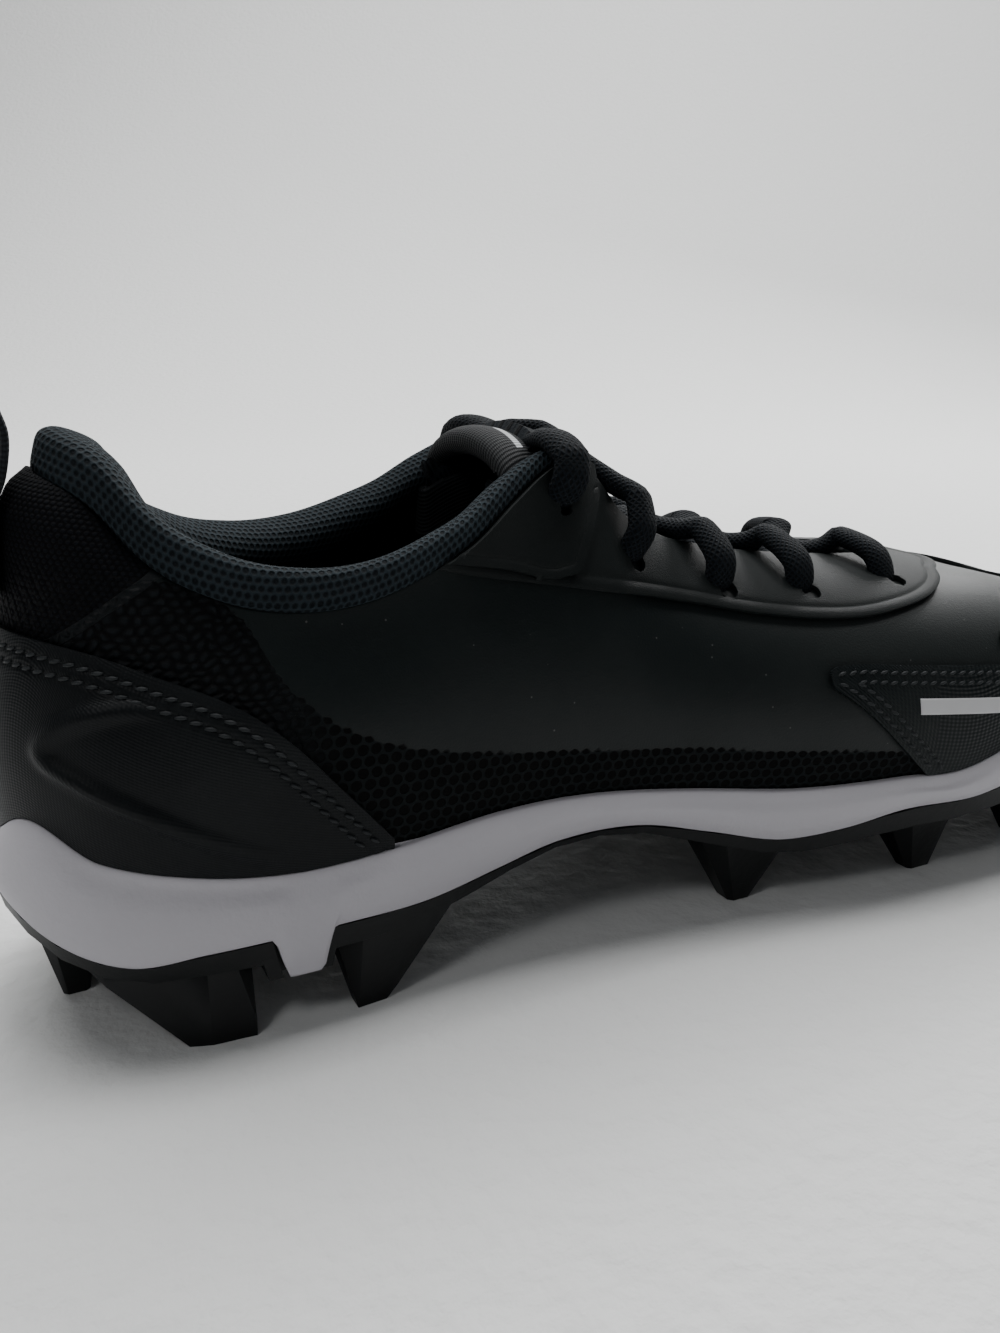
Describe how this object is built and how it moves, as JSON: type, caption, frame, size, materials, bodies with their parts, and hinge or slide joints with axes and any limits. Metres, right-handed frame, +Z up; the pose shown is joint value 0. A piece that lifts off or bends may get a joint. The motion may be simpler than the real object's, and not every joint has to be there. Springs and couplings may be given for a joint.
{
  "type": "baseball cleat",
  "caption": "Low-cut laced baseball shoe with a padded knit collar, a heel pull loop, a pale foam midsole and a dark rubber plate with moulded studs under heel and forefoot.",
  "frame": {"origin": "centre of the shoe's box on the plane that its studs stand on", "axes": "+X from heel to toe, +Y from the medial to the lateral side, +Z up"},
  "size_m": [0.2992, 0.105, 0.1176],
  "materials": {
    "black_synthetic": "satin synthetic leather with a fine pebble grain",
    "black_overlay": "satin moulded overlay",
    "navy_knit": "matte spacer knit",
    "lace_weave": "matte oval woven lace",
    "pale_foam": "matte moulded foam",
    "black_rubber": "satin moulded rubber",
    "grey_lining": "matte sock liner"
  },
  "bodies": {
    "root": {"upper": "black_synthetic", "heel_counter": "black_overlay", "eyestay": "black_overlay", "lace_tab_medial": "black_overlay", "lace_tab_lateral": "black_overlay", "forefoot_panel_medial": "black_overlay", "forefoot_panel_lateral": "black_overlay", "toe_cap": "black_overlay", "collar": "navy_knit", "tongue": "navy_knit", "lace_top_bar": "lace_weave", "lace_crossing_1": "lace_weave", "lace_crossing_2": "lace_weave", "lace_crossing_3": "lace_weave", "lace_crossing_4": "lace_weave", "pull_loop": "lace_weave", "midsole": "pale_foam", "outsole": "black_rubber", "insole": "grey_lining"}
  },
  "joints": []
}
